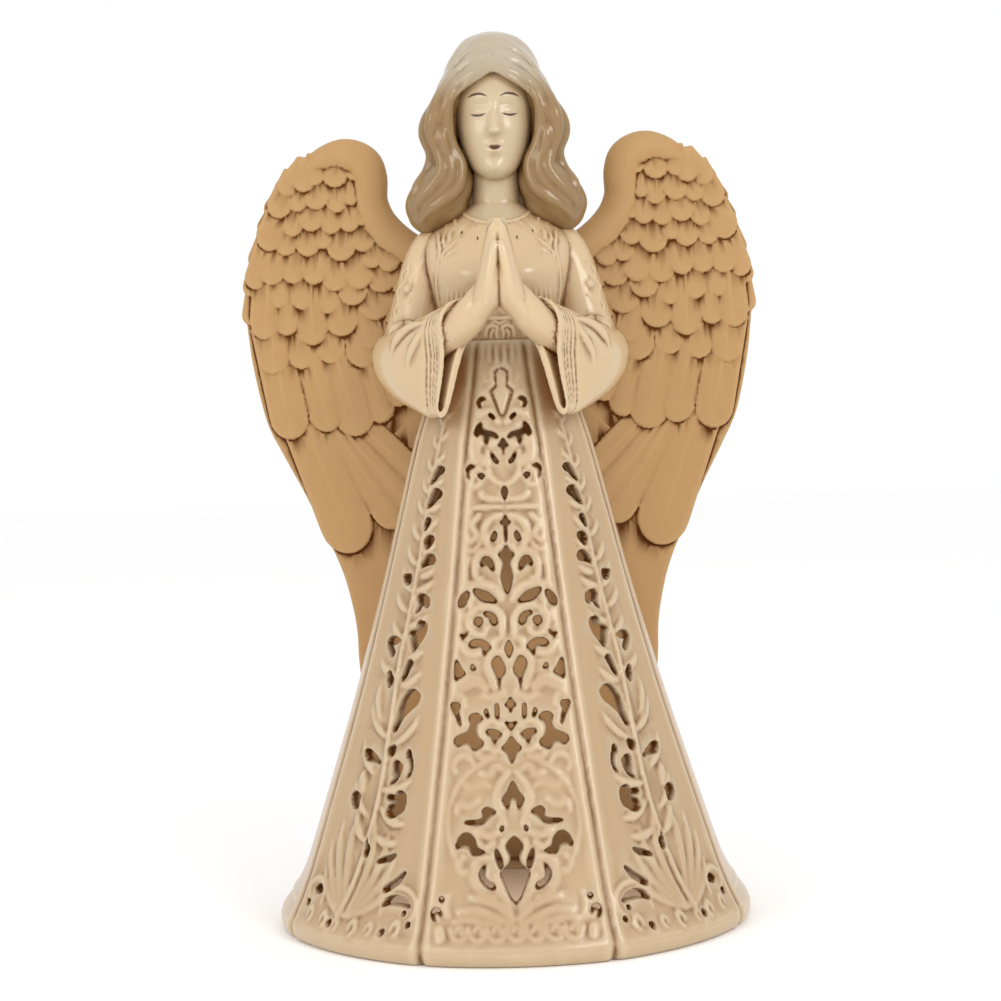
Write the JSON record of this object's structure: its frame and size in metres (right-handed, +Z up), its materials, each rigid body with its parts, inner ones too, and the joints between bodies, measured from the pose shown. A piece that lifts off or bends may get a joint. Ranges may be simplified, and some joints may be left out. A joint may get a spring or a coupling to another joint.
{
  "type": "pierced ceramic angel figurine",
  "caption": "Praying angel with folded wings and waved hair in a pierced bell-shaped gown, hollow and open below so that a small light can stand inside.",
  "frame": {"origin": "middle of the gown's foot, on the surface it stands on", "axes": "+Z up, the figure faces -Y, +X to the figure's left hand"},
  "size_m": [0.2008, 0.1732, 0.33],
  "materials": {
    "ivory_ceramic": "cream glaze with a brown wash in the recesses, tan wings and taupe hair"
  },
  "bodies": {
    "root": {"angel_figure": "ivory_ceramic"}
  },
  "joints": []
}
